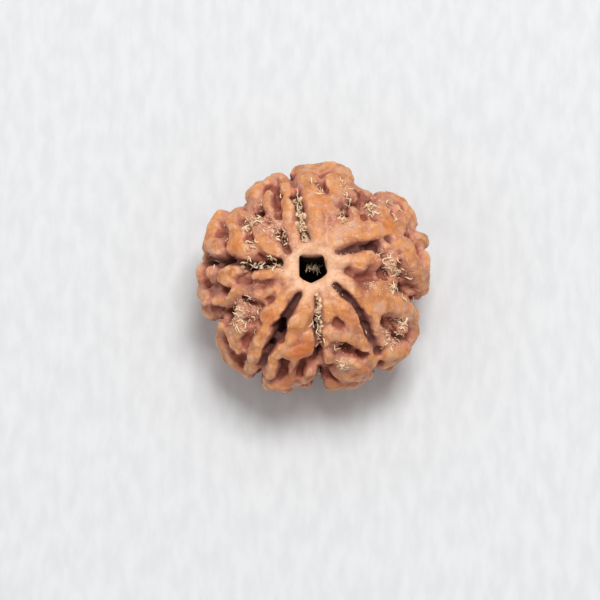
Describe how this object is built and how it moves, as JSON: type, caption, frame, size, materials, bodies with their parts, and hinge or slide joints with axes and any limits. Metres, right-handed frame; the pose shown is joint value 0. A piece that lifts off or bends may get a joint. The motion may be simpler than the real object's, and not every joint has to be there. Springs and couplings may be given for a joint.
{
  "type": "rudraksha seed",
  "caption": "Rounded woody seed stone with deep seams, a knotted net of ridges and a channel through its middle, strung as a bead.",
  "frame": {"origin": "centre of the bounding box's bottom face, on the plane that the stone rests on", "axes": "+Z along the channel, towards the crown that the picture shows; +X to the right and +Y away from the picture's viewer"},
  "size_m": [0.0236, 0.0234, 0.017],
  "materials": {
    "stone_wood": "dry, slightly polished on the ridges"
  },
  "bodies": {
    "root": {"rudraksha_seed": "stone_wood"}
  },
  "joints": []
}
